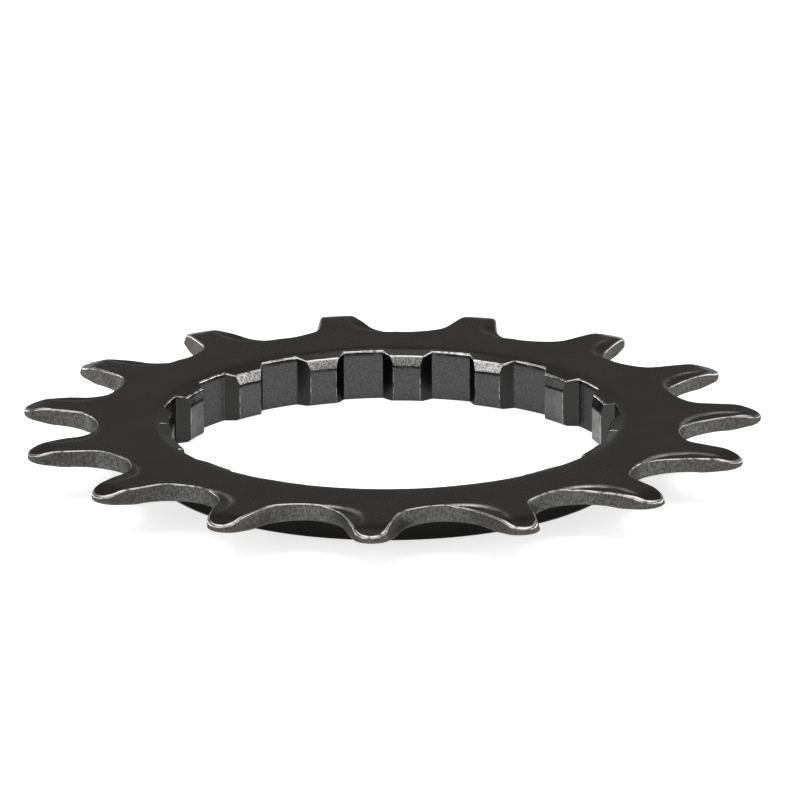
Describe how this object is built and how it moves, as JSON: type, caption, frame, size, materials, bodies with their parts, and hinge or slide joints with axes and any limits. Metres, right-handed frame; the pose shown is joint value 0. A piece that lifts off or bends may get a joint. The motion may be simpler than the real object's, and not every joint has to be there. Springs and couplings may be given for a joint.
{
  "type": "bicycle chainring",
  "caption": "Small one-piece steel chainring for an e-bike drive: a flat toothed ring for a roller chain on a short hub with a splined bore.",
  "frame": {"origin": "centre of the splined bore at the hub's lower seat face", "axes": "+Z along the bore axis from the hub towards the toothed ring; the picture was taken from the -Y side with +X to the right"},
  "size_m": [0.0672, 0.0672, 0.0047],
  "materials": {
    "black_steel": "satin"
  },
  "bodies": {
    "root": {"chainring": "black_steel"}
  },
  "joints": []
}
